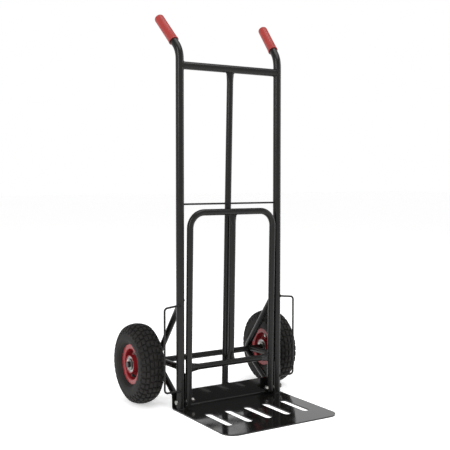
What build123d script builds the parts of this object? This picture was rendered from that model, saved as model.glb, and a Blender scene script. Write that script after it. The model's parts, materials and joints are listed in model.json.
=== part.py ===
from build123d import *
from math import asin, cos, degrees, radians, sin, sqrt
import os

# A two-wheeled hand truck: a ladder frame of two round rails that bend back into
# handles, a bent toe plate with a rear flange, a fold-down load frame hinged just
# above the toe plate, an axle bar cradled by two bent side braces, wheel guards of
# round wire, and two pneumatic wheels on ball bearings.
#
# Millimetres, +Z up, +X to the truck's right when seen from the front, -Y to the
# front (the toe plate). The origin is on the ground, in the middle of the truck's
# overall width and overall depth.

# ---------------------------------------------------------------- driving dimensions
# Rails and handles
rail_d = 26.0
rail_wall = 1.8
rail_spacing = 374.0          # between the rails' axes
bend_height = 1108.0          # ground to the start of the handle bend
bend_radius = 70.0
handle_tilt = 44.0            # away from vertical
handle_splay = 8.0            # turned outwards, seen from above
handle_reach = 128.0          # straight tube past the bend

# Grips
grip_length = 118.0
grip_wall = 2.7
grip_end_wall = 5.0
grip_lip_rise = 1.0
grip_lip_length = 4.0
grip_clearance = 0.05         # radial gap left between sleeve and tube

# Cross members of the main frame
top_bar_d = 25.0
top_bar_wall = 1.5
top_bar_drop = 19.0           # below the start of the handle bend
post_d = 21.0
post_wall = 1.5
rod_d = 6.0
rod_height = 653.5

# Toe plate
toe_overhang = 6.0            # past the rails on each side
toe_reach = 316.0             # rail axes to the front edge
toe_thickness = 4.0
toe_corner_radius = 40.0
toe_bend_radius = 5.0         # inside the bend, and the gap from rails to flange
flange_height = 56.5
flange_corner_radius = 6.0
slot_count = 5
slot_width = 24.0
slot_length = 140.0
slot_pitch = 71.5
slot_reach = 160.0            # rail axes to the slots' middles

# Fold-down frame
fold_d = 21.0
fold_wall = 1.5
fold_height = 601.0           # pivot to the axis of the top bar
fold_bend_radius = 50.0
fold_lean = 1.3               # leans forward of vertical when it is put up
fold_foot = 12.0              # leg left below the pivot
fold_bar_height = 106.0       # pivot to the axis of the lower bar
fold_bar_d = 20.0
flat_width = 29.0             # height of a pressed-flat tube end
flat_thickness = 7.0
flat_length = 10.0
flat_taper = 30.0             # length over which a tube goes from flat to round

# Pivot of the fold-down frame
pivot_height = 26.0
pivot_forward = 2.0           # ahead of the rails' axes
pivot_plate_thickness = 3.5
pivot_plate_height = 112.0
pivot_plate_top = 14.0        # width of its narrow top
pivot_plate_shoulder = 50.0   # height up to which it keeps its full width
pivot_plate_nose = 9.0        # reaches this far ahead of the rails' axes
pivot_plate_round = 4.0
bolt_d = 8.0
bolt_clearance = 0.05
pivot_washer_d = 17.0
pivot_washer_thickness = 1.0
pivot_nut_height = 7.5
bolt_end_length = 3.5
hex_8 = 13.0                  # across flats of an 8 mm head or nut
bolt_head_height = 5.3
side_gap = 0.4                # between parts that turn past each other

# Axle and side braces
axle_d = 20.0
axle_back = 149.0             # behind the rails' axes
axle_chamfer = 1.0
brace_d = 20.0
brace_wall = 1.6
brace_inset = 6.0             # inside the rails' axes
brace_top_height = 352.0      # where its axis would meet the plane of the rails' axes
brace_foot_height = 20.0      # where its axis meets the back of the flange
strut_rail_height = 134.0
strut_flat_width = 30.0

# Wheel guards
guard_d = 6.5
guard_reach = 61.5            # outside the rails' axes
guard_forward = 11.0
guard_bottom = 63.0
guard_top = 330.0
guard_top_inner = 336.0
guard_bend_radius = 11.0

# Wheels
wheel_d = 260.0
wheel_out = 73.0              # middle of a wheel from its rail's axis
tyre_width = 86.0
tread_depth = 4.0
tyre_shoulder = 28.0          # half width of the crown
tyre_crown_drop = 6.5
tyre_belly_rise = 23.0        # from the rim flanges to where the tyre is widest
tyre_wall = 6.0
bead_width = 8.0
bead_height = 12.0
bead_gap = 0.1                # between a bead and the rim half that holds it
tube_wall = 2.0
tube_gap = 0.4                # from the tube to the tyre and to the rim
rim_flange_d = 128.0
rim_seat_d = 101.6
rim_half_width = 29.0
rim_sheet = 2.0
rim_disc_gap = 0.2
rim_bend_radius = 3.0
rim_bolt_circle = 76.0
rim_bolt_count = 4
rim_bolt_turn_left = 50.0
rim_bolt_turn_right = 72.0
rim_bolt_end = 3.0
flange_clearance = 1.0        # from the rim flanges to the tyre's sidewalls
rim_nut_height = 6.5
hub_length = 64.0
hub_wall = 2.5
bearing_d = 52.0
bearing_width = 15.0
bearing_recess = 1.0
bearing_groove = 0.8
bearing_race = 4.0
axle_running_clearance = 0.05
valve_d = 6.0
valve_length = 26.0
valve_out = 9.0               # from mid-wheel to the foot of the stem
valve_slant = 30.0            # leans in towards the axle
valve_clearance = 0.1
valve_cap_d = 8.0
valve_cap_length = 9.0
valve_turn = -112.0

# Axle washers and split pins
washer_d = 37.0
washer_thickness = 2.5
wheel_side_play = 0.5
pin_d = 4.0
pin_gap = 0.3
pin_head_width = 9.0
pin_eye_thickness = 3.0
pin_head_overlap = 1.0        # the shank runs this far into the eye
pin_tail = 6.0
axle_end_past_pin = 5.0

# ------------------------------------------------------------------ derived places
rail_r = rail_d / 2
rail_x = rail_spacing / 2
top_bar_height = bend_height - top_bar_drop
wheel_r = wheel_d / 2
wheel_x = rail_x + wheel_out
rail_y = (toe_reach - axle_back - wheel_r) / 2
axle_y = rail_y + axle_back
axle_z = wheel_r
axle_r = axle_d / 2
flange_front_y = rail_y + rail_r + toe_bend_radius
flange_back_y = flange_front_y + toe_thickness
toe_front_y = rail_y - toe_reach
toe_half = rail_x + rail_r + toe_overhang
brace_r = brace_d / 2
brace_x = rail_x - brace_inset
pivot_y = rail_y - pivot_forward
fold_r = fold_d / 2
pivot_plate_inner = rail_x - rail_r - pivot_plate_thickness
fold_x = pivot_plate_inner - pivot_washer_thickness - side_gap - fold_r
post_r = post_d / 2
post_top_y = rail_y
post_foot_z = toe_thickness + toe_bend_radius
# The centre post leans back so that its front just meets the flange's top edge.
post_slope = (flange_back_y + post_r - post_top_y) / (top_bar_height - flange_height)
post_foot_y = post_top_y + post_slope * (top_bar_height - post_foot_z)
rim_seat_r = rim_seat_d / 2
rim_flange_r = rim_flange_d / 2
tyre_half = tyre_width / 2
hub_outer_r = bearing_d / 2 + hub_wall
washer_inner_x = wheel_x - hub_length / 2 - wheel_side_play - washer_thickness
washer_outer_x = wheel_x + hub_length / 2 + wheel_side_play
pin_inner_x = washer_inner_x - pin_gap - pin_d / 2
pin_outer_x = washer_outer_x + washer_thickness + pin_gap + pin_d / 2
axle_half = pin_outer_x + axle_end_past_pin

sides = {"left": -1, "right": 1}

os.makedirs("parts", exist_ok=True)


def save(piece, name):
    """Label a finished piece and write it as its own STEP file."""
    piece.part.label = name
    export_step(piece.part, f"parts/{name}.step")


def between(start, end):
    """The plane at start whose normal points at end, and the distance between them."""
    return Plane(origin=start, z_dir=end - start), (end - start).length


def solid_bar(start, end, radius):
    """A plain round bar, used to shape the end of a tube that meets it."""
    plane, length = between(start, end)
    with BuildPart() as bar:
        with BuildSketch(plane):
            Circle(radius)
        extrude(amount=length)
    return bar.part


def straight_tube(start, end, diameter, wall):
    """A straight round tube from start to end."""
    plane, length = between(start, end)
    with BuildPart() as tube:
        with BuildSketch(plane):
            Circle(diameter / 2)
            Circle(diameter / 2 - wall, mode=Mode.SUBTRACT)
        extrude(amount=length)
    return tube.part


def pressed_end(plane, diameter, turn):
    """A tube end that is round at the plane and pressed flat past the taper.

    The plane's normal points at the open end; turn sets the flat's long way.
    """
    with BuildPart() as pressed:
        with BuildSketch(plane):
            Circle(diameter / 2)
        with BuildSketch(plane.offset(flat_taper)):
            SlotOverall(flat_width, flat_thickness, rotation=turn)
        loft()
        with BuildSketch(plane.offset(flat_taper)):
            SlotOverall(flat_width, flat_thickness, rotation=turn)
        extrude(amount=flat_length)
    return pressed.part


def hexagon_prism(plane, across_flats, height):
    """A hexagonal head or nut that stands on the plane."""
    with BuildPart() as prism:
        with BuildSketch(plane):
            RegularPolygon(across_flats / 2, 6, major_radius=False)
        extrude(amount=height)
    return prism.part


# ------------------------------------------------------------------- rails and grips
def handle_direction(side):
    """The level direction in which a rail bends back."""
    return Vector(side * sin(radians(handle_splay)), cos(radians(handle_splay)), 0)


def rail_path(side):
    """A rail's axis: straight up, round the bend, and along the handle."""
    back = handle_direction(side)
    up = Vector(0, 0, 1)
    foot = Vector(side * rail_x, rail_y, toe_thickness)
    knee = Vector(side * rail_x, rail_y, bend_height)
    tilt = radians(handle_tilt)
    along = back * sin(tilt) + up * cos(tilt)
    elbow = knee + back * (bend_radius * (1 - cos(tilt))) + up * (bend_radius * sin(tilt))
    return foot, knee, elbow, elbow + along * handle_reach, along


def rail_envelope(side):
    """The filled straight part of a rail."""
    foot, knee, _, _, _ = rail_path(side)
    return solid_bar(foot, knee, rail_r)


for name, side in sides.items():
    foot, knee, elbow, tip, along = rail_path(side)
    with BuildPart() as rail:
        with BuildLine() as axis:
            Line(foot, knee)
            TangentArc(knee, elbow, tangent=(0, 0, 1))
            Line(elbow, tip)
        with BuildSketch(Plane(origin=foot, z_dir=(0, 0, 1))):
            Circle(rail_r)
            Circle(rail_r - rail_wall, mode=Mode.SUBTRACT)
        sweep(path=axis.wires()[0])
        with BuildSketch(Plane.YZ.offset(side * rail_x)):
            with Locations((pivot_y, pivot_height)):
                Circle(bolt_d / 2 + bolt_clearance)
        extrude(amount=rail_d, both=True, mode=Mode.SUBTRACT)
    save(rail, f"{name}_rail")

    grip_bore_r = rail_r + grip_clearance
    grip_r = grip_bore_r + grip_wall
    grip_end = tip + along * grip_end_wall
    grip_start = grip_end - along * grip_length
    with BuildPart() as grip:
        with BuildSketch(Plane(origin=grip_start, z_dir=along)):
            Circle(grip_r)
        extrude(amount=grip_length)
        fillet(grip.edges().filter_by(GeomType.CIRCLE).sort_by_distance(grip_end)[0], grip_end_wall)
        with BuildSketch(Plane(origin=grip_start, z_dir=along)):
            Circle(grip_r + grip_lip_rise)
        extrude(amount=grip_lip_length)
        with BuildSketch(Plane(origin=grip_start, z_dir=along)):
            Circle(grip_bore_r)
        extrude(amount=grip_length - grip_end_wall, mode=Mode.SUBTRACT)
    save(grip, f"{name}_grip")

# ----------------------------------------------------- cross members of the main frame
rails = {name: rail_envelope(side) for name, side in sides.items()}

top_bar_start = Vector(-rail_x, rail_y, top_bar_height)
top_bar_end = Vector(rail_x, rail_y, top_bar_height)
top_bar_tube = straight_tube(top_bar_start, top_bar_end, top_bar_d, top_bar_wall)
with BuildPart() as top_crossbar:
    add(top_bar_tube)
    add(rails["left"], mode=Mode.SUBTRACT)
    add(rails["right"], mode=Mode.SUBTRACT)
save(top_crossbar, "top_crossbar")

post_top = Vector(0, post_top_y, top_bar_height)
post_foot = Vector(0, post_foot_y, post_foot_z)
post_tube = straight_tube(post_foot, post_top, post_d, post_wall)
top_bar_solid = solid_bar(top_bar_start, top_bar_end, top_bar_d / 2)
with BuildPart() as centre_post:
    add(post_tube)
    add(top_bar_solid, mode=Mode.SUBTRACT)
save(centre_post, "centre_post")

# The thin rod lies against the front of the centre post.
rod_r = rod_d / 2
post_y_at_rod = post_top_y + post_slope * (top_bar_height - rod_height)
rod_y = post_y_at_rod - post_r * sqrt(1 + post_slope**2) - rod_r
with BuildPart() as cross_rod:
    with BuildSketch(Plane.YZ):
        with Locations((rod_y, rod_height)):
            Circle(rod_r)
    extrude(amount=rail_x, both=True)
    add(rails["left"], mode=Mode.SUBTRACT)
    add(rails["right"], mode=Mode.SUBTRACT)
save(cross_rod, "cross_rod")

# -------------------------------------------------------------------------- toe plate
with BuildPart() as toe_plate:
    with BuildSketch(Plane.YZ):
        with BuildLine():
            outer_bend = toe_bend_radius + toe_thickness
            FilletPolyline(
                (toe_front_y, 0),
                (flange_back_y, 0),
                (flange_back_y, flange_height),
                radius=outer_bend,
            )
            Line((flange_back_y, flange_height), (flange_front_y, flange_height))
            FilletPolyline(
                (flange_front_y, flange_height),
                (flange_front_y, toe_thickness),
                (toe_front_y, toe_thickness),
                radius=toe_bend_radius,
            )
            Line((toe_front_y, toe_thickness), (toe_front_y, 0))
        make_face()
    extrude(amount=toe_half, both=True)
    front_corners = toe_plate.edges().filter_by(Axis.Z).group_by(Axis.Y)[0]
    fillet(front_corners, toe_corner_radius)
    top_corners = toe_plate.edges().filter_by(Axis.Y).group_by(Axis.Z)[-1]
    fillet(top_corners, flange_corner_radius)
    with BuildSketch(Plane.XY):
        with Locations((0, rail_y - slot_reach)):
            with GridLocations(slot_pitch, 0, slot_count, 1):
                SlotOverall(slot_length, slot_width, rotation=90)
    extrude(amount=toe_thickness, mode=Mode.SUBTRACT)
save(toe_plate, "toe_plate")

# ------------------------------------------------------------------------ pivot plates
# Each stands between a rail and a leg of the fold-down frame, on the toe plate and
# against the flange, and takes the pivot bolt.
for name, side in sides.items():
    plate_front = rail_y - pivot_plate_nose
    plate_top = toe_thickness + pivot_plate_height
    top_back = plate_front + pivot_plate_top
    with BuildPart() as pivot_plate:
        with BuildSketch(Plane.YZ.offset(side * (rail_x - rail_r - pivot_plate_thickness / 2))):
            with BuildLine():
                Polyline(
                    (plate_front, toe_thickness),
                    (flange_front_y, toe_thickness),
                    (flange_front_y, toe_thickness + pivot_plate_shoulder),
                    (top_back, plate_top),
                    (plate_front, plate_top),
                    close=True,
                )
            make_face()
            with Locations((pivot_y, pivot_height)):
                Circle(bolt_d / 2 + bolt_clearance, mode=Mode.SUBTRACT)
        extrude(amount=pivot_plate_thickness / 2, both=True)
        corner_edges = pivot_plate.edges().filter_by(Axis.X).filter_by(GeomType.LINE)
        bend_edge = corner_edges.sort_by_distance((0, flange_front_y, toe_thickness))[0]
        chamfer(bend_edge, toe_bend_radius)
        fillet(pivot_plate.edges().filter_by(Axis.X).group_by(Axis.Z)[-1], pivot_plate_round)
    save(pivot_plate, f"{name}_pivot_plate")

# ------------------------------------------------------------------------------- axle
with BuildPart() as axle:
    with BuildSketch(Plane.YZ):
        with Locations((axle_y, axle_z)):
            Circle(axle_r)
    extrude(amount=axle_half, both=True)
    chamfer(axle.edges().filter_by(GeomType.CIRCLE), axle_chamfer)
    with BuildSketch(Plane.XY.offset(axle_z)):
        with Locations(*[(s * x, axle_y) for s in (-1, 1) for x in (pin_inner_x, pin_outer_x)]):
            Circle(pin_d / 2 + axle_running_clearance)
    extrude(amount=axle_r, both=True, mode=Mode.SUBTRACT)
save(axle, "axle")

axle_bar = solid_bar(Vector(-axle_half, axle_y, axle_z), Vector(axle_half, axle_y, axle_z), axle_r)

# ------------------------------------------------------------------------ side braces
# One tube on each side runs down and back from the rail, round the back of the axle,
# and down and forward to the flange. Its bend lies against the axle.
cradle_radius = axle_r + axle_running_clearance + brace_r


def bend_touch(point, centre, sign):
    """Where a straight run from a point meets the bend round the axle."""
    away = point - centre
    lean = sign * (90 - degrees(asin(cradle_radius / away.length)))
    return centre + away.normalized().rotate(Axis.X, lean) * cradle_radius


with BuildPart() as flange_space:
    with BuildSketch(Plane.XY):
        with Locations((0, flange_back_y)):
            Rectangle(2 * toe_half, rail_d, align=(Align.CENTER, Align.MAX))
    extrude(amount=flange_height)

for name, side in sides.items():
    centre = Vector(side * brace_x, axle_y, axle_z)
    top_point = Vector(side * brace_x, rail_y, brace_top_height)
    foot_point = Vector(side * brace_x, flange_back_y, brace_foot_height)
    upper_touch = bend_touch(top_point, centre, -1)
    lower_touch = bend_touch(foot_point, centre, 1)
    foot_end = foot_point + (foot_point - lower_touch).normalized() * brace_r
    behind = (upper_touch + lower_touch) * 0.5 - centre
    bend_middle = centre + behind.normalized() * cradle_radius
    with BuildPart() as side_brace:
        with BuildLine() as axis:
            Line(top_point, upper_touch)
            ThreePointArc(upper_touch, bend_middle, lower_touch)
            Line(lower_touch, foot_end)
        with BuildSketch(Plane(origin=top_point, z_dir=upper_touch - top_point)):
            Circle(brace_r)
            Circle(brace_r - brace_wall, mode=Mode.SUBTRACT)
        sweep(path=axis.wires()[0])
        add(rails[name], mode=Mode.SUBTRACT)
        add(flange_space.part, mode=Mode.SUBTRACT)
    save(side_brace, f"{name}_side_brace")

# -------------------------------------------------------------------------- axle struts
# A short tube joins each rail to the front of the axle. Its rail end is pressed flat
# and stands upright.
for name, side in sides.items():
    axle_end = Vector(side * brace_x, axle_y, axle_z)
    rail_end = Vector(side * brace_x, rail_y, strut_rail_height)
    plane, length = between(axle_end, rail_end)
    round_length = length - rail_r / 2 - flat_taper - flat_length
    taper_start = axle_end + plane.z_dir * round_length
    strut_tube = straight_tube(axle_end, taper_start, brace_d, brace_wall)
    strut_flat = pressed_end(Plane(origin=taper_start, x_dir=(1, 0, 0), z_dir=plane.z_dir), brace_d, 90)
    with BuildPart() as strut:
        add(strut_tube)
        add(strut_flat)
        add(rails[name], mode=Mode.SUBTRACT)
        add(axle_bar, mode=Mode.SUBTRACT)
    save(strut, f"{name}_strut")

# ------------------------------------------------------------------------ wheel guards
guard_y = rail_y - guard_forward
guard_start = rail_x + sqrt(rail_r**2 - guard_forward**2)
guard_out = rail_x + guard_reach
for name, side in sides.items():
    with BuildPart() as guard:
        with BuildLine() as axis:
            FilletPolyline(
                (side * guard_start, guard_y, guard_top_inner),
                (side * guard_out, guard_y, guard_top),
                (side * guard_out, guard_y, guard_bottom),
                (side * guard_start, guard_y, guard_bottom),
                radius=guard_bend_radius,
            )
        with BuildSketch(Plane(origin=axis.line @ 0, z_dir=axis.line % 0)):
            Circle(guard_d / 2)
        sweep()
        add(rails[name], mode=Mode.SUBTRACT)
    save(guard, f"{name}_wheel_guard")

# --------------------------------------------------------------------- fold-down frame
lean = radians(fold_lean)
fold_up = Vector(0, -sin(lean), cos(lean))
fold_normal = Vector(0, -cos(lean), -sin(lean))
pivot_point = Vector(0, pivot_y, pivot_height)
fold_plane = Plane(origin=pivot_point, x_dir=(1, 0, 0), z_dir=fold_normal)

with BuildPart() as fold_tube:
    with BuildLine(fold_plane) as axis:
        FilletPolyline(
            (-fold_x, -fold_foot),
            (-fold_x, fold_height),
            (fold_x, fold_height),
            (fold_x, -fold_foot),
            radius=fold_bend_radius,
        )
    with BuildSketch(Plane(origin=axis.line @ 0, z_dir=axis.line % 0)):
        Circle(fold_r)
        Circle(fold_r - fold_wall, mode=Mode.SUBTRACT)
    sweep()
    with BuildSketch(Plane.YZ):
        with Locations((pivot_y, pivot_height)):
            Circle(bolt_d / 2 + bolt_clearance)
    extrude(amount=rail_x, both=True, mode=Mode.SUBTRACT)
save(fold_tube, "fold_tube")


def fold_point(x, height):
    """A point in the fold-down frame's own plane, as a place in the truck."""
    return pivot_point + Vector(x, 0, 0) + fold_up * height


leg_ends = [(fold_point(s * fold_x, 0), fold_point(s * fold_x, fold_height / 2)) for s in (-1, 1)]
legs = [solid_bar(foot, end, fold_r) for foot, end in leg_ends]
round_half = fold_x - flat_taper - flat_length
bar_left = fold_point(-round_half, fold_bar_height)
bar_right = fold_point(round_half, fold_bar_height)
bar_tube = straight_tube(bar_left, bar_right, fold_bar_d, fold_wall)
bar_flats = [
    pressed_end(Plane(origin=bar_left, x_dir=fold_up, z_dir=(-1, 0, 0)), fold_bar_d, 0),
    pressed_end(Plane(origin=bar_right, x_dir=fold_up, z_dir=(1, 0, 0)), fold_bar_d, 0),
]
with BuildPart() as fold_crossbar:
    add(bar_tube)
    add(bar_flats)
    add(legs, mode=Mode.SUBTRACT)
save(fold_crossbar, "fold_crossbar")

# The post's ends are pressed flat, broad side to the front, and meet the two bars.
fold_bar_solid = solid_bar(bar_left, bar_right, fold_bar_d / 2)
fold_top_solid = solid_bar(
    fold_point(-round_half, fold_height), fold_point(round_half, fold_height), fold_r
)
post_low = fold_bar_height + flat_length + flat_taper
post_high = fold_height - flat_length - flat_taper
fold_post_tube = straight_tube(fold_point(0, post_low), fold_point(0, post_high), fold_d, fold_wall)
fold_post_flats = [
    pressed_end(Plane(origin=fold_point(0, post_high), x_dir=(1, 0, 0), z_dir=fold_up), fold_d, 0),
    pressed_end(Plane(origin=fold_point(0, post_low), x_dir=(1, 0, 0), z_dir=-fold_up), fold_d, 0),
]
with BuildPart() as fold_post:
    add(fold_post_tube)
    add(fold_post_flats)
    add(fold_bar_solid, mode=Mode.SUBTRACT)
    add(fold_top_solid, mode=Mode.SUBTRACT)
save(fold_post, "fold_post")

# ----------------------------------------------------------- pivot bolts, nuts, washers
leg_inner = fold_x - fold_r
rail_outer = rail_x + rail_r
nut_start = leg_inner - side_gap
nut_end = nut_start - pivot_nut_height

head_planes = [Plane(origin=(s * rail_outer, pivot_y, pivot_height), z_dir=(s, 0, 0)) for s in (-1, 1)]
seat_planes = [Plane(origin=(s * nut_start, pivot_y, pivot_height), z_dir=(-s, 0, 0)) for s in (-1, 1)]
bolt_heads = [hexagon_prism(plane, hex_8, bolt_head_height) for plane in head_planes]
nut_blanks = [hexagon_prism(plane, hex_8, pivot_nut_height) for plane in seat_planes]

with BuildPart() as pivot_bolts:
    add(bolt_heads)
    for head in head_planes:
        with BuildSketch(head):
            Circle(bolt_d / 2)
        extrude(amount=-(rail_outer - nut_end + bolt_end_length))
save(pivot_bolts, "pivot_bolts")

with BuildPart() as pivot_nuts:
    add(nut_blanks)
    for seat in seat_planes:
        with BuildSketch(seat):
            Circle(bolt_d / 2 + bolt_clearance)
        extrude(amount=pivot_nut_height, mode=Mode.SUBTRACT)
save(pivot_nuts, "pivot_nuts")

with BuildPart() as pivot_washers:
    for side in (-1, 1):
        face = Plane(origin=(side * pivot_plate_inner, pivot_y, pivot_height), z_dir=(-side, 0, 0))
        with BuildSketch(face):
            Circle(pivot_washer_d / 2)
            Circle(bolt_d / 2 + bolt_clearance, mode=Mode.SUBTRACT)
        extrude(amount=pivot_washer_thickness)
save(pivot_washers, "pivot_washers")

# ---------------------------------------------------------- axle washers and split pins
with BuildPart() as axle_washers:
    for side in (-1, 1):
        for start in (washer_inner_x, washer_outer_x):
            face = Plane(origin=(side * start, axle_y, axle_z), z_dir=(side, 0, 0))
            with BuildSketch(face):
                Circle(washer_d / 2)
                Circle(axle_r + axle_running_clearance, mode=Mode.SUBTRACT)
            extrude(amount=washer_thickness)
save(axle_washers, "axle_washers")

with BuildPart() as split_pins:
    for side in (-1, 1):
        for pin_x in (pin_inner_x, pin_outer_x):
            shank = Plane(origin=(side * pin_x, axle_y, axle_z - axle_r - pin_tail))
            with BuildSketch(shank):
                Circle(pin_d / 2)
            extrude(amount=2 * axle_r + pin_tail + pin_head_overlap)
            eye = Plane(
                origin=(side * pin_x, axle_y, axle_z + axle_r + pin_head_width / 2),
                x_dir=(0, 1, 0),
                z_dir=(1, 0, 0),
            )
            with BuildSketch(eye):
                Circle(pin_head_width / 2)
                Circle(pin_head_width / 2 - pin_d / 2, mode=Mode.SUBTRACT)
            extrude(amount=pin_eye_thickness / 2, both=True)
save(split_pins, "split_pins")

# ----------------------------------------------------------------------------- wheels


def wheel_profile_plane(side):
    """Sketch plane through a wheel's axis: x is outward from mid-wheel, y is radius."""
    return Plane(
        origin=(side * wheel_x, axle_y, axle_z),
        x_dir=(side, 0, 0),
        z_dir=(0, -side, 0),
    )


def wheel_axis(side):
    """The axis on which a wheel turns."""
    return Axis((side * wheel_x, axle_y, axle_z), (1, 0, 0))


rim_flange_x = rim_half_width
bead_x = rim_flange_x - rim_sheet
bead_r = rim_seat_r + bead_gap
bead_side_x = bead_x - bead_gap
bead_toe_x = bead_x - bead_width
bead_top_r = bead_r + bead_height
flange_clear_x = rim_half_width + flange_clearance
flange_clear_r = rim_flange_r + flange_clearance
cavity_crown_r = wheel_r - tread_depth - tyre_wall
cavity_half = tyre_half - tyre_wall
cavity_shoulder = tyre_shoulder - tyre_wall
cavity_shoulder_r = cavity_crown_r - tyre_crown_drop
tube_outer_r = cavity_crown_r - tube_gap
tube_inner_r = rim_seat_r + tube_gap
tube_centre_r = (tube_outer_r + tube_inner_r) / 2
tube_half_height = (tube_outer_r - tube_inner_r) / 2
tube_half_width = bead_toe_x - tube_gap

disc_inner = rim_disc_gap / 2
disc_outer = disc_inner + rim_sheet
rim_seat_under = rim_seat_r - rim_sheet
bolt_hole_r = bolt_d / 2 + bolt_clearance
bearing_outer_x = hub_length / 2 - bearing_recess
valve_foot_r = tube_inner_r - valve_d / 2
valve_hole_r = valve_d / 2 + valve_clearance


def tyre_outline():
    """Draw the tyre's section: the outside, both beads and the air space."""
    shoulder_r = wheel_r - tyre_crown_drop
    bead_corner = rim_bend_radius
    ThreePointArc((-tyre_shoulder, shoulder_r), (0, wheel_r), (tyre_shoulder, shoulder_r))
    ThreePointArc(
        (-cavity_shoulder, cavity_shoulder_r),
        (0, cavity_crown_r),
        (cavity_shoulder, cavity_shoulder_r),
    )
    for s in (-1, 1):
        belly = (s * tyre_half, flange_clear_r + tyre_belly_rise)
        TangentArc(belly, (s * tyre_shoulder, shoulder_r), tangent=(0, 1))
        TangentArc(belly, (s * flange_clear_x, flange_clear_r), tangent=(0, -1))
        Polyline(
            (s * flange_clear_x, flange_clear_r),
            (s * bead_side_x, flange_clear_r),
            (s * bead_side_x, bead_r + bead_corner),
            (s * (bead_side_x - bead_corner), bead_r),
            (s * bead_toe_x, bead_r),
            (s * bead_toe_x, bead_top_r),
        )
        cavity_belly = (s * cavity_half, belly[1])
        TangentArc(cavity_belly, (s * cavity_shoulder, cavity_shoulder_r), tangent=(0, 1))
        TangentArc(cavity_belly, (s * bead_toe_x, bead_top_r), tangent=(0, -1))


def rim_half_outline(facing):
    """Draw the section of one pressed rim half: disc, barrel and flange."""
    outside_bend = rim_bend_radius + rim_sheet
    tyre_side = FilletPolyline(
        (facing * disc_inner, hub_outer_r),
        (facing * disc_inner, rim_seat_r),
        (facing * bead_x, rim_seat_r),
        (facing * bead_x, rim_flange_r),
        radius=[outside_bend, rim_bend_radius],
    )
    open_side = FilletPolyline(
        (facing * disc_outer, hub_outer_r),
        (facing * disc_outer, rim_seat_under),
        (facing * rim_flange_x, rim_seat_under),
        (facing * rim_flange_x, rim_flange_r),
        radius=[rim_bend_radius, outside_bend],
    )
    Line(tyre_side @ 0, open_side @ 0)
    Line(tyre_side @ 1, open_side @ 1)


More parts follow.
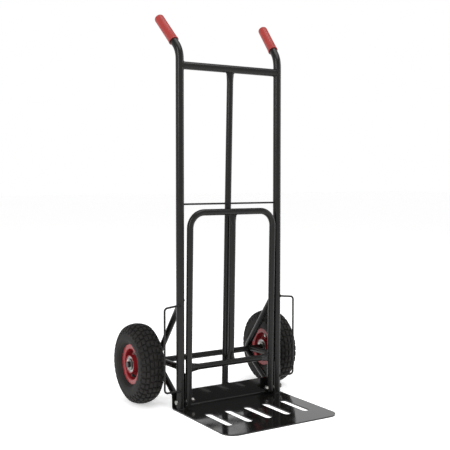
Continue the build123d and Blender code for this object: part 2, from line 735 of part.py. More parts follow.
for name, side in sides.items():
    profile = wheel_profile_plane(side)
    spin = wheel_axis(side)
    centre = Vector(side * wheel_x, axle_y, axle_z)
    outward = Vector(side, 0, 0)
    bolt_turn = rim_bolt_turn_left if side < 0 else rim_bolt_turn_right
    outer_disc = Plane(origin=centre + outward * disc_outer, x_dir=(0, 1, 0), z_dir=outward)
    inner_disc = Plane(origin=centre - outward * disc_outer, x_dir=(0, 1, 0), z_dir=outward)
    bolt_places = PolarLocations(rim_bolt_circle / 2, rim_bolt_count, start_angle=side * bolt_turn)
    bolt_points = [location.position for location in bolt_places]

    valve_radial = Vector(0, cos(radians(valve_turn)), sin(radians(valve_turn)))
    valve_along = outward * cos(radians(valve_slant)) - valve_radial * sin(radians(valve_slant))
    valve_foot = centre + valve_radial * valve_foot_r + outward * valve_out
    valve_end = valve_foot + valve_along * valve_length
    valve_hole = solid_bar(valve_foot, valve_end, valve_hole_r)

    with BuildPart() as tyre:
        with BuildSketch(profile):
            with BuildLine():
                tyre_outline()
            make_face()
        revolve(axis=spin)
    save(tyre, f"{name}_tyre")

    with BuildPart() as inner_tube:
        with BuildSketch(profile):
            with Locations((0, tube_centre_r)):
                Ellipse(tube_half_width, tube_half_height)
                Ellipse(tube_half_width - tube_wall, tube_half_height - tube_wall, mode=Mode.SUBTRACT)
        revolve(axis=spin)
    save(inner_tube, f"{name}_inner_tube")

    for half, facing in (("outer", 1), ("inner", -1)):
        with BuildPart() as rim:
            with BuildSketch(profile):
                with BuildLine():
                    rim_half_outline(facing)
                make_face()
            revolve(axis=spin)
            with BuildSketch(inner_disc):
                with Locations(*bolt_points):
                    Circle(bolt_hole_r)
            extrude(amount=2 * disc_outer, mode=Mode.SUBTRACT)
            if facing > 0:
                add(valve_hole, mode=Mode.SUBTRACT)
        save(rim, f"{name}_rim_{half}")

    with BuildPart() as hub:
        with BuildSketch(profile):
            Rectangle(hub_length, hub_outer_r, align=(Align.CENTER, Align.MIN))
            Rectangle(hub_length, bearing_d / 2, align=(Align.CENTER, Align.MIN), mode=Mode.SUBTRACT)
        revolve(axis=spin)
    save(hub, f"{name}_hub")

    with BuildPart() as bearings:
        for facing in (-1, 1):
            bearing_face = centre + outward * (facing * bearing_outer_x)
            with BuildSketch(Plane(origin=bearing_face, z_dir=outward * -facing)):
                Circle(bearing_d / 2)
                Circle(axle_r + axle_running_clearance, mode=Mode.SUBTRACT)
            extrude(amount=bearing_width)
            bearing_face = centre + outward * (facing * bearing_outer_x)
            with BuildSketch(Plane(origin=bearing_face, z_dir=outward * -facing)):
                Circle(bearing_d / 2 - bearing_race)
                Circle(axle_r + bearing_race, mode=Mode.SUBTRACT)
            extrude(amount=bearing_groove, mode=Mode.SUBTRACT)
    save(bearings, f"{name}_bearings")

    head_planes = [Plane(origin=outer_disc.from_local_coords(point), z_dir=outward) for point in bolt_points]
    nut_planes = [Plane(origin=inner_disc.from_local_coords(point), z_dir=-outward) for point in bolt_points]
    bolt_heads = [hexagon_prism(plane, hex_8, bolt_head_height) for plane in head_planes]
    nut_blanks = [hexagon_prism(plane, hex_8, rim_nut_height) for plane in nut_planes]

    with BuildPart() as rim_bolts:
        add(bolt_heads)
        with BuildSketch(outer_disc):
            with Locations(*bolt_points):
                Circle(bolt_d / 2)
        extrude(amount=-(2 * disc_outer + rim_nut_height + rim_bolt_end))
    save(rim_bolts, f"{name}_rim_bolts")

    with BuildPart() as rim_nuts:
        add(nut_blanks)
        with BuildSketch(inner_disc):
            with Locations(*bolt_points):
                Circle(bolt_hole_r)
        extrude(amount=-rim_nut_height, mode=Mode.SUBTRACT)
    save(rim_nuts, f"{name}_rim_nuts")

    with BuildPart() as valve:
        with BuildSketch(Plane(origin=valve_foot, z_dir=valve_along)):
            Circle(valve_d / 2)
        extrude(amount=valve_length)
        with BuildSketch(Plane(origin=valve_end, z_dir=-valve_along)):
            Circle(valve_cap_d / 2)
        extrude(amount=valve_cap_length)
    save(valve, f"{name}_valve")
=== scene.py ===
# %% [markdown]
# # A hand truck with pneumatic wheels
# The truck is a welded frame of black powder-coated tube with a slotted toe plate, a
# fold-down load frame, and two red wheels with block-tread tyres. Its measured frame
# comes in ready made, with every tube, plate and wheel part in place. This lesson adds
# what gives it life: moulded tyres, weld beads, bolts, split pins, grips and finishes.

# %% Load the measured frame
import json
import math
import random

import bmesh
import bpy
from mathutils import Matrix, Vector
from mathutils.bvhtree import BVHTree


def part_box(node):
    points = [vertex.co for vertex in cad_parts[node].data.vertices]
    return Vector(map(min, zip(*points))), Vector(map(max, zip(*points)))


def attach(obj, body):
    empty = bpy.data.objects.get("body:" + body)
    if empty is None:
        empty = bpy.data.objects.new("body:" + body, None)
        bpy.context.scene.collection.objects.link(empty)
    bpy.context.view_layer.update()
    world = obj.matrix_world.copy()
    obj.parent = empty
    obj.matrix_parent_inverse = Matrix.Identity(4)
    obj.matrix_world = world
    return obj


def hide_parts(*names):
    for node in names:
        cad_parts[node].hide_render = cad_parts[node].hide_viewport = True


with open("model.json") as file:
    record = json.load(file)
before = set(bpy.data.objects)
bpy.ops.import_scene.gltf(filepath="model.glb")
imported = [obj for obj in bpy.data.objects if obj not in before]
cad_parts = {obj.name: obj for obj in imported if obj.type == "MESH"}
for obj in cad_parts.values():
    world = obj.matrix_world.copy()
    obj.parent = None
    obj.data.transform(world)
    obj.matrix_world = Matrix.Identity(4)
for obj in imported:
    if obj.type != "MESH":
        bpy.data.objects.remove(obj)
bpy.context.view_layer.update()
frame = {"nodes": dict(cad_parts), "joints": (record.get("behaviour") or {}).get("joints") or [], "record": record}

nodes = frame["nodes"]

# %% [markdown]
# Colours are chosen as the hex values a paint chart gives, and the renderer wants linear
# light, so one function turns one into the other. A second function adds one shader node
# with its settings and its links, and every material below is made with those two.

# %% Colour and node helpers
MM = 0.001


def paint(hex_value):
    """An sRGB hex colour as linear red, green, blue and full alpha."""
    channels = [int(hex_value[i:i + 2], 16) / 255 for i in (1, 3, 5)]
    linear = [c / 12.92 if c <= 0.04045 else ((c + 0.055) / 1.055) ** 2.4 for c in channels]
    return (*linear, 1.0)


def add(tree, kind, settings=None, **links):
    """Add one shader node: settings go on the node or its sockets, links feed its sockets."""
    made = tree.nodes.new("ShaderNode" + kind)
    for key, value in (settings or {}).items():
        if isinstance(key, str) and hasattr(made, key):
            setattr(made, key, value)
        else:
            made.inputs[key].default_value = value
    for key, source in links.items():
        by_number = key[0] == "i" and key[1:].isdigit()
        socket = made.inputs[int(key[1:]) if by_number else key.replace("_", " ")]
        tree.links.new(source, socket)
    return made


def new_material(name):
    """An empty node material with its output and Principled shader joined."""
    material = bpy.data.materials.new(name)
    material.use_nodes = True
    tree = material.node_tree
    tree.nodes.clear()
    shader = add(tree, "BsdfPrincipled")
    add(tree, "OutputMaterial", Surface=shader.outputs[0])
    place = add(tree, "TexCoord").outputs["Object"]
    return material, tree, shader, place


# %% [markdown]
# ## Finishes
# Powder coat is polyester powder baked onto steel. It flows out smooth but keeps a faint
# ripple, called orange peel, about 2 mm across, and here and there a speck of dust. The
# ripple is drawn as a low bump, and slow noise shifts the gloss a little, which is what
# tells the eye that it is a coat and not bare plastic.

# %% Black and red powder coat
def powder_coat(name, light, dark, gloss, shine, peel=0.04):
    """Baked powder coat: two close tones, orange peel and an uneven gloss."""
    material, tree, shader, place = new_material(name)
    cloud = add(tree, "TexNoise", {"Scale": 1 / (60 * MM), "Detail": 4.0, "Roughness": 0.6}, Vector=place)
    tone = add(tree, "Mix", {"data_type": "RGBA", 6: paint(dark), 7: paint(light)}, i0=cloud.outputs[0])
    tree.links.new(tone.outputs[2], shader.inputs["Base Color"])
    drift = {"From Min": 0.3, "From Max": 0.7, "To Min": gloss - 0.04, "To Max": gloss + 0.06}
    rough = add(tree, "MapRange", drift, Value=cloud.outputs[0])
    tree.links.new(rough.outputs[0], shader.inputs["Roughness"])
    peel_noise = add(tree, "TexNoise", {"Scale": 1 / (2.2 * MM), "Detail": 2.0}, Vector=place)
    speck = add(tree, "TexVoronoi", {"Scale": 1 / (9 * MM)}, Vector=place)
    rise = {"From Min": 0.0, "From Max": 0.06, "To Min": 0.4, "To Max": 0.0}
    speck_edge = add(tree, "MapRange", rise, Value=speck.outputs["Distance"])
    height = add(tree, "Math", {"operation": "ADD"}, i0=peel_noise.outputs[0], i1=speck_edge.outputs[0])
    bump = add(tree, "Bump", {"Strength": peel, "Distance": 0.15 * MM}, Height=height.outputs[0])
    tree.links.new(bump.outputs[0], shader.inputs["Normal"])
    shader.inputs["Specular IOR Level"].default_value = shine
    return material


black_coat = powder_coat("black_powder_coat", "#131211", "#0c0c0b", 0.27, 0.26)
plate_coat = powder_coat("black_powder_coat_on_plate", "#161514", "#100f0f", 0.1, 0.4, peel=0.02)
red_coat = powder_coat("red_powder_coat", "#8f2227", "#791b20", 0.24, 0.4)
print("powder coats:", black_coat.name, plate_coat.name, red_coat.name)

# %% [markdown]
# Zinc plate is a thin bright metal skin on bolts, washers and pins. It is slightly milky,
# and its clear passivate film drifts between bluish and yellowish grey. The drift is a
# slow noise, a finer noise dulls patches where fingers and spanners have been.

# %% Zinc plate and bearing steel
def plated_steel(name, cool, warm, rough_low, rough_high):
    """Plated steel: a metal with a drifting tint and patches of dullness."""
    material, tree, shader, place = new_material(name)
    shader.inputs["Metallic"].default_value = 1.0
    drift = add(tree, "TexNoise", {"Scale": 1 / (14 * MM), "Detail": 3.0}, Vector=place)
    tint = add(tree, "Mix", {"data_type": "RGBA", 6: paint(cool), 7: paint(warm)}, i0=drift.outputs[0])
    tree.links.new(tint.outputs[2], shader.inputs["Base Color"])
    grain = add(tree, "TexNoise", {"Scale": 1 / (1.6 * MM), "Detail": 5.0, "Roughness": 0.7}, Vector=place)
    dulling = {"From Min": 0.35, "From Max": 0.65, "To Min": rough_low, "To Max": rough_high}
    rough = add(tree, "MapRange", dulling, Value=grain.outputs[0])
    tree.links.new(rough.outputs[0], shader.inputs["Roughness"])
    bump = add(tree, "Bump", {"Strength": 0.08, "Distance": 0.1 * MM}, Height=grain.outputs[0])
    tree.links.new(bump.outputs[0], shader.inputs["Normal"])
    return material


zinc = plated_steel("zinc_plated_steel", "#abadaf", "#a7a398", 0.25, 0.42)
shield_steel = plated_steel("pressed_bearing_shield", "#9b9c9e", "#8d8c88", 0.24, 0.38)
print("metals:", zinc.name, shield_steel.name)

# %% [markdown]
# Tyre rubber is natural rubber filled with carbon black. It comes out of the mould a dark
# warm grey, with a dull sheen, and dust stays on it. Fine noise gives the moulded skin,
# and a slow one the dusty patches. The inner tube's valve is the same rubber, cleaner.

# %% Rubber and grip sleeve
def rubber(name, clean, dusty, rough, grain_mm, depth, shine):
    """Moulded rubber: dusty patches over a clean tone, and a fine moulded grain."""
    material, tree, shader, place = new_material(name)
    patchy = {"Scale": 1 / (35 * MM), "Detail": 6.0, "Roughness": 0.65}
    patches = add(tree, "TexNoise", patchy, Vector=place)
    fine = {"Scale": 1 / (grain_mm * MM), "Detail": 4.0, "Roughness": 0.6}
    grain = add(tree, "TexNoise", fine, Vector=place)
    mask = add(tree, "MapRange", {"From Min": 0.38, "From Max": 0.68}, Value=patches.outputs[0])
    tone = add(tree, "Mix", {"data_type": "RGBA", 6: paint(clean), 7: paint(dusty)}, i0=mask.outputs[0])
    tree.links.new(tone.outputs[2], shader.inputs["Base Color"])
    worn = add(tree, "MapRange", {"To Min": rough - 0.08, "To Max": rough + 0.08}, Value=grain.outputs[0])
    tree.links.new(worn.outputs[0], shader.inputs["Roughness"])
    bump = add(tree, "Bump", {"Strength": 0.25, "Distance": depth * MM}, Height=grain.outputs[0])
    tree.links.new(bump.outputs[0], shader.inputs["Normal"])
    shader.inputs["Specular IOR Level"].default_value = shine
    return material


tyre_rubber = rubber("carbon_black_rubber", "#181716", "#211f1e", 0.66, 1.3, 0.3, 0.18)
valve_rubber = rubber("valve_rubber", "#161616", "#1d1c1b", 0.5, 1.0, 0.15, 0.3)
grip_skin = rubber("dipped_red_vinyl", "#93312d", "#8c2e2b", 0.42, 2.5, 0.04, 0.3)
print("rubbers:", tyre_rubber.name, valve_rubber.name, grip_skin.name)

# %% [markdown]
# The measured nodes keep their shapes, and each takes the finish of what it is made of.
# Tubes and plates are black, wheel pressings red, and small hardware zinc.

# %% Finishes on the measured nodes
def finish_of(name):
    """The finish that a measured node gets, by what it is made of."""
    if name == "toe_plate":
        return plate_coat
    if "grip" in name:
        return grip_skin
    if "rim_outer" in name or "rim_inner" in name or name.endswith("hub"):
        return red_coat
    if "bearings" in name:
        return shield_steel
    if name.endswith("tyre") or name.endswith("inner_tube"):
        return tyre_rubber
    if any(word in name for word in ("bolts", "nuts", "washers", "pins")):
        return zinc
    if name.endswith("valve"):
        return valve_rubber
    return black_coat


for name, thing in nodes.items():
    thing.data.materials.clear()
    thing.data.materials.append(finish_of(name))
print("measured nodes finished:", len(nodes))

# %% [markdown]
# ## Making pieces
# Every new piece starts as a bmesh and ends as an object at the origin that rides on one
# body of the truck. One helper does that last step: it merges doubles, turns the faces
# outwards, smooths what is nearly flat and says which body carries the piece.

# %% From bmesh to piece
def as_mesh(shape, name):
    """Turn a bmesh into a mesh and let the bmesh go."""
    mesh = bpy.data.meshes.new(name)
    shape.to_mesh(mesh)
    shape.free()
    return mesh


def make_piece(name, shape, material, body, sharp=35, replaced=()):
    """Turn a finished bmesh into a piece of the truck."""
    bmesh.ops.remove_doubles(shape, verts=shape.verts, dist=0.01 * MM)
    bmesh.ops.recalc_face_normals(shape, faces=shape.faces)
    for face in shape.faces:
        face.smooth = True
    for edge in shape.edges:
        if len(edge.link_faces) == 2 and edge.calc_face_angle(0) > math.radians(sharp):
            edge.smooth = False
    mesh = as_mesh(shape, name)
    mesh.materials.append(material)
    piece = bpy.data.objects.new(name, mesh)
    bpy.context.scene.collection.objects.link(piece)
    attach(piece, body)
    if replaced:
        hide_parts(*replaced)
    print(name, "faces", len(mesh.polygons))
    return piece


def spun(profile, steps, centre, closed=True):
    """Spin a profile of (along X, radius) pairs in millimetres about the X axis."""
    shape = bmesh.new()
    points = [shape.verts.new((x * MM, 0, r * MM)) for x, r in profile]
    pairs = list(zip(points, points[1:] + points[:1])) if closed else list(zip(points, points[1:]))
    edges = [shape.edges.new(pair) for pair in pairs]
    bmesh.ops.spin(shape, geom=points + edges, cent=(0, 0, 0), axis=(1, 0, 0), angle=math.tau, steps=steps,
                   use_merge=True)
    bmesh.ops.translate(shape, verts=shape.verts, vec=centre)
    return shape


# %% [markdown]
# ## The wheels
# Each wheel turns on the axle, so its centre comes from its joint. The tyre is a 3.00-4
# block-tread tyre. Its carcass is one profile spun round the axle, with moulded rings on
# the sidewall. The tread is nine rows of blocks that stand up to 4 mm proud. A block
# is one bevelled box, copied round the crown, so hundreds of them stay light.

# %% Wheel centres and sides
wheel_centres = {}
for joint in frame["joints"]:
    if joint["name"].endswith("wheel_spin"):
        wheel_centres[joint["child"]] = Vector(joint["pos_m"])
outward_of = {body: (1 if centre.x > 0 else -1) for body, centre in wheel_centres.items()}
print("wheel centres:", {body: [round(v, 4) for v in centre] for body, centre in wheel_centres.items()})

# %% Tyre carcass and tread blocks
half_carcass = [
    (19, 62.9), (19, 50.9), (23.9, 50.9), (26.9, 53.9), (26.9, 65), (30, 65), (32.3, 66.2), (35.1, 69),
    (37.2, 71.4), (38.5, 72.0), (39.3, 73.2), (39.2, 74.6), (40.4, 77), (41.6, 80), (42.2, 84), (42.3, 88),
    (42.2, 92), (41.6, 96.6), (41.9, 98.6), (41.5, 100.4), (40.1, 101.4), (38.4, 104.9), (35.4, 109.0),
    (33.0, 111.8), (29.2, 115.8), (24.5, 119.4), (17.5, 123.0), (9, 125.3),
]
inner_half = [(12, 108), (24, 98), (32, 84), (28, 70)]
carcass = (
    half_carcass
    + [(0, 126)]
    + [(-x, r) for x, r in reversed(half_carcass)]
    + [(-x, r) for x, r in reversed(inner_half)]
    + inner_half
)
block_height = 8.0
blocks_round = 36
tread_rows = [
    # top of the block (along the axle, radius), lean, width, length, shift as a share of a pitch
    (0.0, 130.0, 0, 12.0, 17.0, 0.0),
    (14.0, 128.4, 12, 11.5, 17.0, 0.1),
    (26.6, 124.0, 28, 11.0, 16.0, 0.5),
    (36.6, 113.0, 57, 14.0, 14.5, 0.6),
    (41.3, 102.5, 72, 10.0, 12.0, 0.1),
]


def block_mesh(width, length):
    """One tread block, standing on its base, with drawn-in and bevelled top edges."""
    shape = bmesh.new()
    corners = bmesh.ops.create_cube(shape, size=1.0)["verts"]
    bmesh.ops.scale(shape, vec=(width * MM, length * MM, block_height * MM), verts=corners)
    bmesh.ops.translate(shape, vec=(0, 0, -block_height / 2 * MM), verts=corners)
    top = [v for v in corners if v.co.z > -block_height / 2 * MM]
    bmesh.ops.scale(shape, vec=(0.88, 0.9, 1), verts=top)
    rim = [e for e in shape.edges if all(v in top for v in e.verts)]
    bmesh.ops.bevel(shape, geom=rim, offset=0.9 * MM, segments=1, affect="EDGES", profile=0.5, material=-1)
    return as_mesh(shape, "block")


def stamp(shape, mesh, place):
    """Add a copy of a small mesh to a bmesh, at a place."""
    copy = mesh.copy()
    copy.transform(place)
    shape.from_mesh(copy)
    bpy.data.meshes.remove(copy)


for body, centre in wheel_centres.items():
    tyre = spun(carcass, 128, (0, 0, 0))
    for x, radius, lean, width, length, shift in tread_rows:
        block = block_mesh(width, length)
        for side in (1,) if x == 0 else (-1, 1):
            for number in range(blocks_round):
                turn = math.tau * (number + shift) / blocks_round
                place = (
                    Matrix.Rotation(turn, 4, "X")
                    @ Matrix.Translation((side * x * MM, 0, radius * MM))
                    @ Matrix.Rotation(math.radians(side * lean), 4, "Y")
                )
                stamp(tyre, block, place)
        bpy.data.meshes.remove(block)
    bmesh.ops.translate(tyre, verts=tyre.verts, vec=centre)
    side_name = body.split("_")[0]
    make_piece(f"{body}_block_tyre", tyre, tyre_rubber, body, sharp=50,
               replaced=[f"{side_name}_tyre"])

# %% [markdown]
# Each half of a rim is pressed from sheet, and its edge is rolled over so that it can't
# cut the tyre. The roll is a small round profile spun round the axle. The bearings sit in
# the hub with pressed shields, which is one more profile, with a step for each race.

# %% Rolled rim edges and shielded bearings
roll_x, roll_radius, roll_size = 27.6, 64.2, 1.5
roll_turns = [math.tau * k / 10 for k in range(10)]
edge_roll = [(roll_x + roll_size * math.cos(t), roll_radius + roll_size * math.sin(t)) for t in roll_turns]
bearing_face = [
    (16, 10.15), (30.6, 10.15), (31, 10.6), (31, 13.2), (30.7, 13.6), (30.1, 13.8), (30.0, 14.8),
    (30.35, 15.6),
    (30.35, 21.0), (30.0, 21.8), (30.1, 22.8), (30.7, 23.0), (31, 23.4), (31, 25.4), (30.5, 25.9), (16, 25.9),
]


def mirrored(profile):
    """The same profile on the other side of mid-wheel."""
    return [(-x, r) for x, r in reversed(profile)]


for body, centre in wheel_centres.items():
    side_name = body.split("_")[0]
    for half, facing in (("outer", 1), ("inner", -1)):
        profile = edge_roll if facing * outward_of[body] > 0 else mirrored(edge_roll)
        make_piece(f"{side_name}_rim_roll_{half}", spun(profile, 96, centre), red_coat, body)
    bearings = spun(bearing_face, 72, (0, 0, 0))
    other = as_mesh(spun(mirrored(bearing_face), 72, (0, 0, 0)), "other_bearing")
    stamp(bearings, other, Matrix.Identity(4))
    bmesh.ops.translate(bearings, verts=bearings.verts, vec=centre)
    make_piece(f"{side_name}_shielded_bearings", bearings, shield_steel, body,
               replaced=[f"{side_name}_bearings"])

# %% [markdown]
# ## Bolts and nuts
# A real bolt head is a hexagon whose corners are turned off on a lathe, and its thread
# stands out of the nut. Each is built standing up at the origin and is then laid along
# the truck's width. Four clamp each rim, and one on each side is the fold frame's pivot.

# %% Hexagons and threads
ACROSS_FLATS = 13
HEAD_HEIGHT = 5.3
THREAD_PITCH = 1.25


def hexagon(shape, across, height):
    """A hexagonal prism standing on zero, with its top corners turned off."""
    radius = across / math.sqrt(3) * MM
    made = bmesh.ops.create_cone(shape, cap_ends=True, segments=6, radius1=radius, radius2=radius,
                                 depth=height * MM)["verts"]
    bmesh.ops.translate(shape, verts=made, vec=(0, 0, height / 2 * MM))
    top = [v for v in made if v.co.z > height / 2 * MM]
    cap = next(f for f in shape.faces if all(v in top for v in f.verts) and len(f.verts) == 6)
    bmesh.ops.inset_individual(shape, faces=[cap], thickness=0.9 * MM, depth=0.0)
    bmesh.ops.translate(shape, verts=top, vec=(0, 0, -0.7 * MM))


def fastener_mesh(thread_end, nut_far, nut_near):
    """A bolt along +Z with its head above zero, its thread and its nut below."""
    shape = bmesh.new()
    hexagon(shape, ACROSS_FLATS, HEAD_HEIGHT)
    nut = bmesh.new()
    hexagon(nut, ACROSS_FLATS, nut_near - nut_far)
    upside_down = Matrix.Rotation(math.pi, 4, "X")
    lowered = Matrix.Translation((0, 0, nut_far * MM))
    raised = Matrix.Translation((0, 0, -(nut_near - nut_far) * MM))
    stamp(shape, as_mesh(nut, "nut"), lowered @ upside_down @ raised)
    profile = [(thread_end, 0), (thread_end, 3.3)]
    height = thread_end + 0.3
    while height + THREAD_PITCH < 0:
        profile += [(height, 4.0), (height + 0.25, 4.0), (height + 0.75, 3.35), (height + 0.95, 3.35)]
        height += THREAD_PITCH
    profile += [(0, 4.0), (0, 0)]
    thread = as_mesh(spun(profile, 24, (0, 0, 0), closed=False), "thread")
    stamp(shape, thread, Matrix.Rotation(-math.pi / 2, 4, "Y"))
    return as_mesh(shape, "fastener")


def laid(place, outward, turn):
    """Lay a standing piece along the truck's width, pointing outward, and turn it about itself."""
    tipped = Matrix.Rotation(outward * math.pi / 2, 4, "Y")
    return Matrix.Translation(place) @ tipped @ Matrix.Rotation(turn, 4, "Z")


# %% Rim bolts and pivot bolts
BOLT_CIRCLE = 38
BOLT_SEAT = 2.1
rim_bolt = fastener_mesh(-13.6, -10.7, -4.2)
bolt_turn = {"left": 50, "right": 72}
for body, centre in wheel_centres.items():
    side_name = body.split("_")[0]
    outward = outward_of[body]
    ring = bmesh.new()
    for number in range(4):
        angle = math.radians(bolt_turn[side_name] + 90 * number)
        across, upward = BOLT_CIRCLE * math.cos(angle), BOLT_CIRCLE * math.sin(angle)
        around = Vector((outward * BOLT_SEAT, across, upward)) * MM
        stamp(ring, rim_bolt, laid(centre + around, outward, 0.4 * number + 0.2))
    make_piece(f"{side_name}_rim_fasteners", ring, zinc, body, sharp=25,
               replaced=[f"{side_name}_rim_bolts", f"{side_name}_rim_nuts"])

pivot = next(Vector(j["pos_m"]) for j in frame["joints"] if j["name"] == "fold_hinge")
under_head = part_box("pivot_bolts")[1].x / MM - HEAD_HEIGHT
thread_end_x, nut_inner_x, nut_outer_x = 136.6, 140.2, 147.7
pivot_bolt = fastener_mesh(thread_end_x - under_head, nut_inner_x - under_head, nut_outer_x - under_head)
pair = bmesh.new()
for outward in (-1, 1):
    stamp(pair, pivot_bolt, laid((outward * under_head * MM, pivot.y, pivot.z), outward, 0.35))
make_piece("pivot_fasteners", pair, zinc, "frame", sharp=25,
           replaced=["pivot_bolts", "pivot_nuts"])

# %% [markdown]
# ## Split pins
# A split pin is half-round wire folded double, so that it has an eye on top, and its two
# legs are bent apart under the axle. One smooth open line gives its path, and a round
# section follows it.

# %% Split pins
def wire(points, radius, place):
    """A smooth round wire through a few points in millimetres, as a mesh in its place."""
    line = bpy.data.curves.new("wire", "CURVE")
    line.dimensions = "3D"
    line.bevel_depth = radius * MM
    line.bevel_resolution = 2
    line.use_fill_caps = True
    line.resolution_u = 4
    spline = line.splines.new("NURBS")
    spline.points.add(len(points) - 1)
    for point, co in zip(spline.points, points):
        point.co = (co[0] * MM, co[1] * MM, co[2] * MM, 1)
    spline.order_u = 3
    spline.use_endpoint_u = True
    holder = bpy.data.objects.new("wire", line)
    mesh = bpy.data.meshes.new_from_object(holder)
    bpy.data.objects.remove(holder)
    mesh.transform(place)
    return mesh


half_pin = [(0.98, -9), (0.98, 0), (0.98, 9.5), (1.6, 11.5), (3.6, 13.5), (3.7, 16.5), (1.8, 18.3)]
left_tail = [(-7.2, -16.2), (-4.2, -14.8), (-1.4, -12.0)]
right_tail = [(1.4, -12.0), (3.4, -15.4), (5.6, -17.4)]
pin_path = left_tail + [(-y, z) for y, z in half_pin] + [(y, z) for y, z in reversed(half_pin)] + right_tail
outer_pin_x, inner_pin_x = 0.2973, 0.2227
pins = bmesh.new()
axle_centre = wheel_centres["right_wheel"]
for outward in (-1, 1):
    for x in (outer_pin_x, inner_pin_x):
        place = Matrix.Translation((outward * x, axle_centre.y, axle_centre.z))
        pin = wire([(0, y, z) for y, z in pin_path], 0.95, place)
        pins.from_mesh(pin)
make_piece("bent_split_pins", pins, zinc, "frame", replaced=["split_pins"])

# %% [markdown]
# ## Grips
# A grip is a red vinyl sleeve with a rolled lip at its open end and a rounded closed end.
# Its profile is spun about a line and then laid on the handle.

# %% Grips
GRIP_LENGTH = 118
grip_profile = [
    (113, 0), (113, 13.1), (0.6, 13.1), (0, 13.7), (0, 16.0), (0.8, 16.6), (3.0, 16.7), (4.2, 16.4),
    (5.2, 15.8),
    (60, 15.7), (111, 15.7), (113.5, 15.4), (115.8, 14.2), (117.3, 12.1), (118, 8.8), (118, 0),
]
for mount in frame["record"]["mounts"]:
    if mount["name"].endswith("_handle"):
        side_name = mount["name"].split("_")[0]
        along = Vector(mount["axis"]).normalized()
        middle = Vector(mount["pos_m"])
        grip = spun(grip_profile, 48, (-GRIP_LENGTH / 2 * MM, 0, 0), closed=False)
        turn = Vector((1, 0, 0)).rotation_difference(along).to_matrix().to_4x4()
        bmesh.ops.transform(grip, matrix=Matrix.Translation(middle) @ turn, verts=grip.verts)
        make_piece(f"{side_name}_handle_grip", grip, grip_skin, "frame",
                   replaced=[f"{side_name}_grip"])

# %% [markdown]
# ## The pressed end of the centre post
# The top of the centre post is pressed flat before it is welded on, so it is wide from the
# front and thin from the side. The measured tube is cut across at even steps below its end,
# and each ring of points is drawn wider and thinner the nearer it is to the end.

# %% Press the end flat
PRESSED_RUN = 42 * MM
POST_SIZE = 21
PRESSED_WIDTH = 29 / POST_SIZE
PRESSED_DEPTH = 9 / POST_SIZE
post_low, post_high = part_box("centre_post")
post_run = Vector((0, -(post_high.y - post_low.y - POST_SIZE * MM), post_high.z - post_low.z))
post_foot = Vector((0, post_high.y - POST_SIZE / 2 * MM, post_low.z))
post_along = post_run.normalized()
post_depthways = post_along.cross(Vector((1, 0, 0)))
post = bmesh.new()
post.from_mesh(nodes["centre_post"].data)
for step in range(1, 9):
    cut = post_foot + post_run - post_along * (PRESSED_RUN * step / 8)
    everything = post.verts[:] + post.edges[:] + post.faces[:]
    bmesh.ops.bisect_plane(post, geom=everything, plane_co=cut, plane_no=post_along)
for vert in post.verts:
    below = (post_foot + post_run - vert.co).dot(post_along)
    share = min(1.0, max(0.0, 1 - below / PRESSED_RUN))
    share = share * share * (3 - 2 * share)
    away = (vert.co - post_foot).dot(post_depthways)
    vert.co.x *= 1 + (PRESSED_WIDTH - 1) * share
    vert.co -= post_depthways * (away * (1 - PRESSED_DEPTH) * share)
make_piece("pressed_centre_post", post, black_coat, "frame", replaced=["centre_post"])

# %% [markdown]
# ## Weld beads
# A welded frame shows a bead wherever one tube ends on another. A bead is a row of small
# overlapping puddles of steel, painted over. The row has to follow the line where the end
# of a tube meets the next part, so rays are shot along the tube's skin at that part, and
# where each ray lands, a small ball is set.

# %% Where a tube's end meets its neighbour
def skin(thing):
    """A measured node's surface, ready to shoot rays at."""
    mesh = thing.data
    return BVHTree.FromPolygons([v.co for v in mesh.vertices], [p.vertices for p in mesh.polygons])


weld_targets = ["left_rail", "right_rail", "top_crossbar", "toe_plate", "axle", "fold_tube", "fold_crossbar"]
skins = {name: skin(nodes[name]) for name in weld_targets}
random.seed(7)


def meeting_line(targets, start, along, half_wide, half_high, across, reach=0.4):
    """Where rays along a tube's skin land on the parts that the tube ends on."""
    along = Vector(along).normalized()
    across = Vector(across).normalized()
    upward = along.cross(across)
    count = max(10, int(math.tau * math.sqrt((half_wide**2 + half_high**2) / 2) / 2.3))
    landed = []
    for step in range(count):
        angle = math.tau * step / count
        offset = across * (half_wide * MM * math.cos(angle)) + upward * (half_high * MM * math.sin(angle))
        hits = [skins[name].ray_cast(Vector(start) + offset, along, reach)[0] for name in targets]
        hits = [hit for hit in hits if hit is not None]
        if hits:
            landed.append(min(hits, key=lambda hit: (hit - Vector(start)).length))
    return landed


def line_between(start, end):
    """Evenly spaced points for a short straight bead."""
    start, end = Vector(start), Vector(end)
    count = max(2, int((end - start).length / (2.2 * MM)))
    return [start.lerp(end, step / (count - 1)) for step in range(count)]


def lay_beads(name, lines, body):
    """Set a small ball of weld at each point of each line."""
    shape = bmesh.new()
    for points, size in lines:
        for point in points:
            swell = size * MM * random.uniform(0.88, 1.12)
            ball = bmesh.ops.create_icosphere(shape, subdivisions=1, radius=swell)["verts"]
            bmesh.ops.translate(shape, verts=ball, vec=point)
    return make_piece(name, shape, black_coat, body, sharp=180)


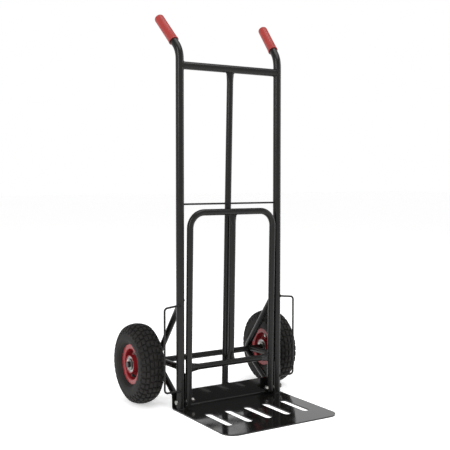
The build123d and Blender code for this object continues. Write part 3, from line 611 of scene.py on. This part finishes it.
# %% Beads on the main frame
RAIL_X = 187 * MM
BRACE_X = 181 * MM
BRACE_TOP_Z = 352 * MM
BRACE_FOOT_Z = 20 * MM
top_low, top_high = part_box("top_crossbar")
top_centre = (top_low + top_high) / 2
post_start = post_foot + post_run * 0.8
rod_low, rod_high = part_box("cross_rod")
rod_centre = (rod_low + rod_high) / 2
plate_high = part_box("toe_plate")[1]
lines = [
    (meeting_line(["top_crossbar"], post_start, post_run, 14.0, 4.5, (1, 0, 0)), 2.3),
    (line_between((-8 * MM, plate_high.y, plate_high.z), (8 * MM, plate_high.y, plate_high.z)), 2.2),
]
for x in (-1, 1):
    start = rod_centre + Vector((x * 5 * MM, 1.5 * MM, 0))
    lines.append((line_between(start, start + Vector((x * 5 * MM, 0.5 * MM, 0))), 1.9))
for side_name, side in (("left", -1), ("right", 1)):
    rail = [f"{side_name}_rail"]
    rail_x = side * RAIL_X
    rail_y = top_centre.y
    lines.append((meeting_line(rail, top_centre, (side, 0, 0), 12.5, 12.5, (0, 1, 0)), 2.4))
    lines.append((meeting_line(rail, rod_centre, (side, 0, 0), 3, 3, (0, 1, 0)), 1.6))
    lines.append((meeting_line(["toe_plate"], (rail_x, rail_y, 60 * MM), (0, 0, -1), 13, 13, (1, 0, 0)), 2.4))
    brace = Vector((0, rail_y - axle_centre.y, BRACE_TOP_Z - axle_centre.z))
    up_start = Vector((side * BRACE_X, rail_y, BRACE_TOP_Z)) - brace * 0.4
    lines.append((meeting_line(rail, up_start, brace, 10, 10, (1, 0, 0)), 2.3))
    foot = Vector((side * BRACE_X, plate_high.y, BRACE_FOOT_Z))
    low_touch = Vector((side * BRACE_X, axle_centre.y + 14 * MM, axle_centre.z - 14 * MM))
    low_start = foot.lerp(low_touch, 0.3)
    lines.append((meeting_line(["toe_plate"], low_start, foot - low_touch, 10, 10, (1, 0, 0)), 2.3))
    strut_low, strut_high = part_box(f"{side_name}_strut")
    strut_middle = (strut_low + strut_high) / 2
    lines.append((meeting_line(["axle"], strut_middle, (0, 1, -0.02), 10, 10, (1, 0, 0)), 2.3))
    lines.append((meeting_line(rail, strut_middle, (0, -1, 0.02), 3.5, 15, (1, 0, 0)), 2.2))
    guard_low, guard_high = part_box(f"{side_name}_wheel_guard")
    guard_y = (guard_low.y + guard_high.y) / 2
    for z in (guard_low.z + 3.25 * MM, guard_high.z - 3.25 * MM):
        outside = Vector((side * 225 * MM, guard_y, z - (2.5 * MM if z > 0.2 else 0)))
        slope = (-side, 0, 0.09 if z > 0.2 else 0)
        lines.append((meeting_line(rail, outside, slope, 3.0, 3.0, (0, 1, 0), reach=0.06), 2.6))
lay_beads("frame_weld_beads", lines, "frame")

# %% Beads on the fold-down frame
bar_low, bar_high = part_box("fold_crossbar")
bar_centre = (bar_low + bar_high) / 2
upright_low, upright_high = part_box("fold_post")
upright_centre = (upright_low + upright_high) / 2
fold_up = Vector((0, -math.sin(math.radians(1.3)), math.cos(math.radians(1.3))))
fold_lines = [
    (meeting_line(["fold_tube"], upright_centre, fold_up, 14.5, 3.5, (1, 0, 0)), 2.2),
    (meeting_line(["fold_crossbar"], upright_centre, -fold_up, 14.5, 3.5, (1, 0, 0), reach=0.5), 2.2),
]
for side in (-1, 1):
    fold_lines.append((meeting_line(["fold_tube"], bar_centre, (side, 0, 0), 3.5, 14.5, (0, 1, 0)), 2.2))
lay_beads("fold_frame_weld_beads", fold_lines, "fold_frame")

# %% [markdown]
# ## Camera, floor and light
# The truck stands on a plain pale floor, and three large soft lights and a pale room give
# the long highlights that show how round and how glossy the tubes are.

# %% Camera
camera_data = bpy.data.cameras.new("camera")
camera_data.lens = 64.93
camera_data.sensor_width = 36.0
camera_data.shift_y = -0.0331
camera_data.clip_end = 60
camera = bpy.data.objects.new("camera", camera_data)
bpy.context.scene.collection.objects.link(camera)
camera.location = (-1.41989, -2.21943, 0.73697)
back = Vector((-0.5299, -0.8471, 0.0398))
camera.rotation_mode = "QUATERNION"
camera.rotation_quaternion = (-back).to_track_quat("-Z", "Y")
bpy.context.scene.camera = camera

# %% Floor
floor_shape = bmesh.new()
bmesh.ops.create_grid(floor_shape, x_segments=1, y_segments=1, size=30)
floor_mesh = as_mesh(floor_shape, "floor")
floor = bpy.data.objects.new("floor", floor_mesh)
bpy.context.scene.collection.objects.link(floor)
floor_material, _, floor_shader, _ = new_material("pale_studio_floor")
floor_shader.inputs["Base Color"].default_value = paint("#fafafa")
floor_shader.inputs["Roughness"].default_value = 0.9
floor_shader.inputs["Specular IOR Level"].default_value = 0.2
floor_shader.inputs["Emission Color"].default_value = paint("#ffffff")
floor_shader.inputs["Emission Strength"].default_value = 0.45
floor_mesh.materials.append(floor_material)

# %% Room and lights
world = bpy.data.worlds.new("pale_room")
bpy.context.scene.world = world
world.use_nodes = True
room_tree = world.node_tree
room = room_tree.nodes["Background"]
direction = add(room_tree, "TexCoord").outputs["Generated"]
split = add(room_tree, "SeparateXYZ", i0=direction)
fade = {"From Min": 0.32, "From Max": 0.5, "To Min": 1.0, "To Max": 0.0}
height = add(room_tree, "MapRange", fade, Value=split.outputs[2])
greys = {"data_type": "RGBA", 6: paint("#b4b4b4"), 7: paint("#ffffff")}
shade = add(room_tree, "Mix", greys, i0=height.outputs[0])
room_tree.links.new(shade.outputs[2], room.inputs["Color"])
room.inputs["Strength"].default_value = 1.0


def soft_light(name, place, aim, size, watts):
    """A square soft light at a place, aimed at a point."""
    lamp = bpy.data.lights.new(name, "AREA")
    lamp.shape = "RECTANGLE"
    lamp.size, lamp.size_y = size
    lamp.energy = watts
    thing = bpy.data.objects.new(name, lamp)
    bpy.context.scene.collection.objects.link(thing)
    thing.location = place
    direction = Vector(aim) - Vector(place)
    thing.rotation_mode = "QUATERNION"
    thing.rotation_quaternion = direction.to_track_quat("-Z", "Y")
    return thing


soft_light("key_light", (-3.0, -1.2, 2.2), (0, 0, 0.6), (1.0, 2.6), 55)
soft_light("top_light", (0.4, -0.8, 3.6), (0, 0, 0), (2.5, 2.5), 60)
soft_light("right_light", (3.2, -1.0, 1.6), (0, 0, 0.6), (0.7, 2.4), 20)
bpy.context.scene.view_settings.view_transform = "Standard"
